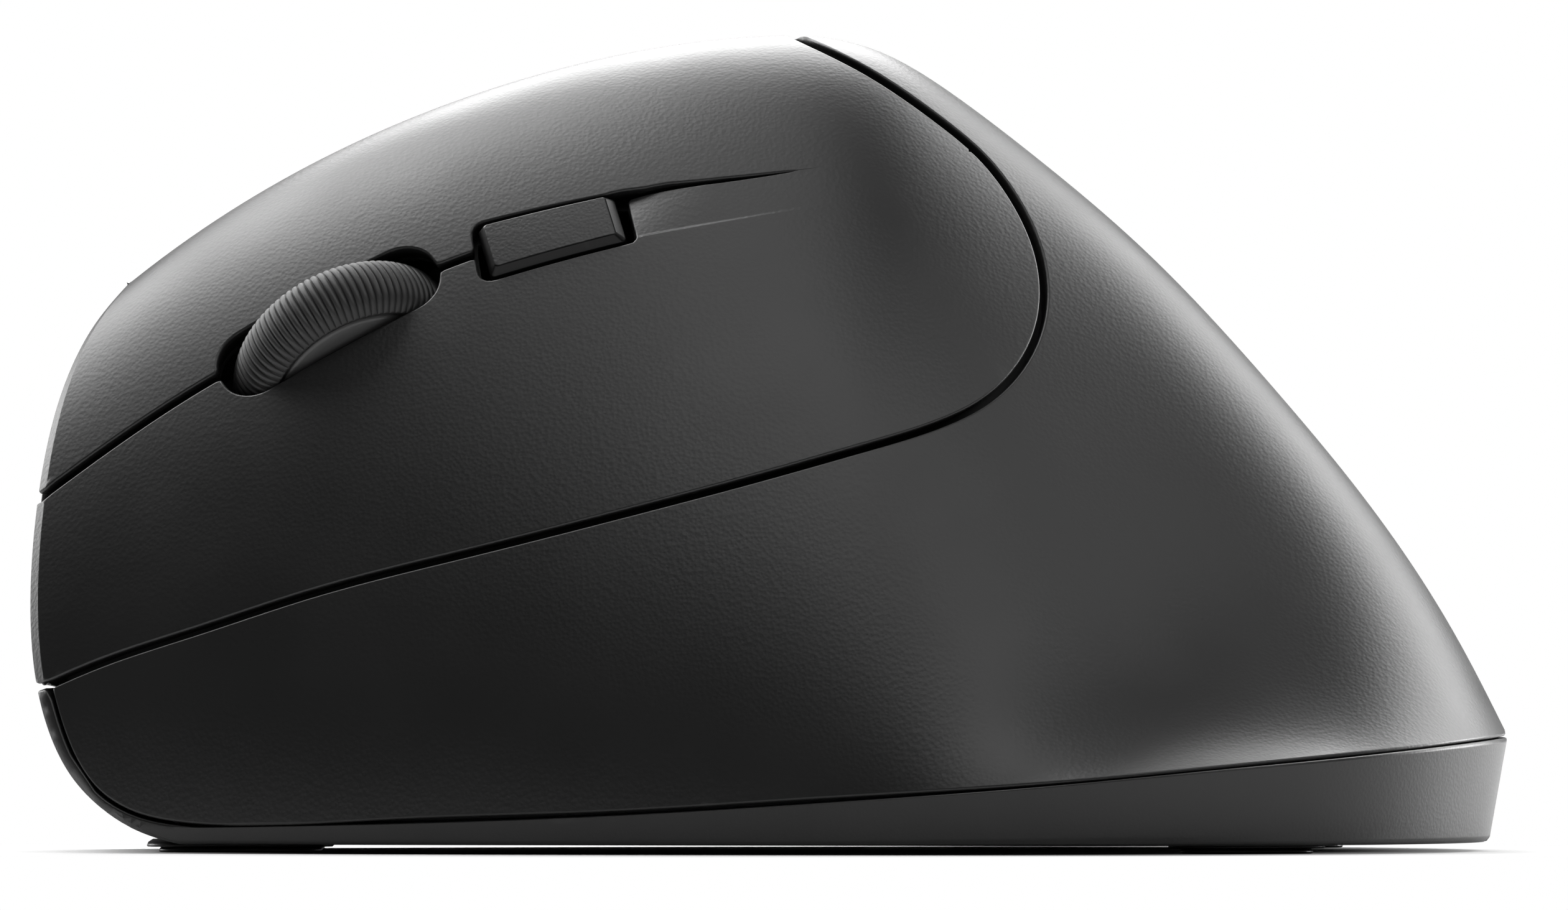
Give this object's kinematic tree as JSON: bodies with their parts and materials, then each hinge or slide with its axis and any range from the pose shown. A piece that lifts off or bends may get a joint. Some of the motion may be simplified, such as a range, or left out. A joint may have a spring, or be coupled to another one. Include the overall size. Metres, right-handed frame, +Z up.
{
  "type": "vertical computer mouse",
  "caption": "Left-hand vertical mouse: leaning hand-shake body with finger buttons, ribbed scroll wheel, thumb buttons, glide feet and a battery bay, with its works inside.",
  "frame": {"origin": "centre of the footprint on the desk plane, under the glide feet", "axes": "+X from the nose to the heel of the hand, -Y the finger side, +Y the thumb side, +Z up"},
  "size_m": [0.1227, 0.0761, 0.068],
  "materials": {
    "shell": "fine moulded grain, matte charcoal",
    "rubber": "ribbed matte rubber",
    "hub": "satin grey moulding",
    "black_plastic": "matte black",
    "pale_plastic": "satin ivory",
    "board": "green solder mask",
    "clear": "clear moulding",
    "film": "amber film",
    "steel": "plated",
    "cell": "printed wrap, plain here",
    "glide": "low friction pad"
  },
  "bodies": {
    "housing": {"bottom_case": "shell", "main_shell": "shell", "cover_bridge": "shell", "click_switch": "black_plastic", "index_switch": "black_plastic", "middle_switch": "black_plastic", "resolution_switch": "black_plastic", "thumb_board": "board", "thumb_switches": "black_plastic", "button_board": "board", "inner_frame": "hub", "main_board": "board", "sensor": "black_plastic", "sensor_lens": "clear", "light_source": "pale_plastic", "controller_chip": "black_plastic", "ribbon_socket": "pale_plastic", "ribbon": "film", "battery_tray": "hub", "cells": "cell", "contact_springs": "steel", "contact_plates": "steel", "receiver": "black_plastic", "power_switch": "steel", "front_glide": "glide", "rear_glides": "glide", "case_screws": "steel", "board_screws": "steel"},
    "index_finger": {"index_button": "shell", "index_plunger": "pale_plastic"},
    "middle_finger": {"middle_button": "shell", "middle_plunger": "pale_plastic"},
    "wheel_fork": {"wheel_carrier": "hub", "wheel_encoder": "board", "click_plunger": "pale_plastic"},
    "scroll_wheel": {"scroll_tyre": "rubber", "wheel_hub": "hub"},
    "resolution_key": {"resolution_button": "shell", "resolution_plunger": "pale_plastic"},
    "forward_key": {"forward_button": "shell", "forward_plunger": "pale_plastic"},
    "back_key": {"back_button": "shell", "back_plunger": "pale_plastic"},
    "power_slider": {"power_knob": "black_plastic"},
    "bay_door": {"battery_door": "shell"}
  },
  "joints": [
    {"name": "index_press", "type": "hinge", "parent": "housing", "child": "index_finger", "pos_m": [0.00778, -0.0068, 0.05502], "axis": [0.0033, -0.7865, -0.6176], "range_deg": [0, 0.5], "stiffness_Nm_per_rad": 1, "springref_deg": -0.11},
    {"name": "middle_press", "type": "hinge", "parent": "housing", "child": "middle_finger", "pos_m": [0.00784, -0.02236, 0.034], "axis": [0.0025, -0.595, -0.8037], "range_deg": [0, 0.5], "stiffness_Nm_per_rad": 1, "springref_deg": -0.11},
    {"name": "wheel_click", "type": "slide", "parent": "housing", "child": "wheel_fork", "axis": [0.2933, 0.7591, -0.5812], "range_m": [0, 0.0006], "stiffness_N_per_m": 200, "springref_m": -0.0003},
    {"name": "wheel_spin", "type": "hinge", "parent": "wheel_fork", "child": "scroll_wheel", "pos_m": [-0.03494, -0.00618, 0.04061], "axis": [-0.3791, 0.6504, 0.6582], "continuous": true},
    {"name": "resolution_press", "type": "slide", "parent": "housing", "child": "resolution_key", "axis": [0.1476, 0.755, -0.6389], "range_m": [0, 0.0005], "stiffness_N_per_m": 60, "springref_m": -0.0003},
    {"name": "forward_press", "type": "slide", "parent": "housing", "child": "forward_key", "axis": [0, -1, 0], "range_m": [0, 0.0005], "stiffness_N_per_m": 80, "springref_m": -0.0003},
    {"name": "back_press", "type": "slide", "parent": "housing", "child": "back_key", "axis": [0, -1, 0], "range_m": [0, 0.0005], "stiffness_N_per_m": 80, "springref_m": -0.0003},
    {"name": "power_slide", "type": "slide", "parent": "housing", "child": "power_slider", "axis": [1, 0, 0], "range_m": [0, 0.003]},
    {"name": "door_swing", "type": "hinge", "parent": "housing", "child": "bay_door", "pos_m": [-0.0036, 0.00335, 0.00085], "axis": [0, 1, 0], "range_deg": [0, 40]}
  ]
}
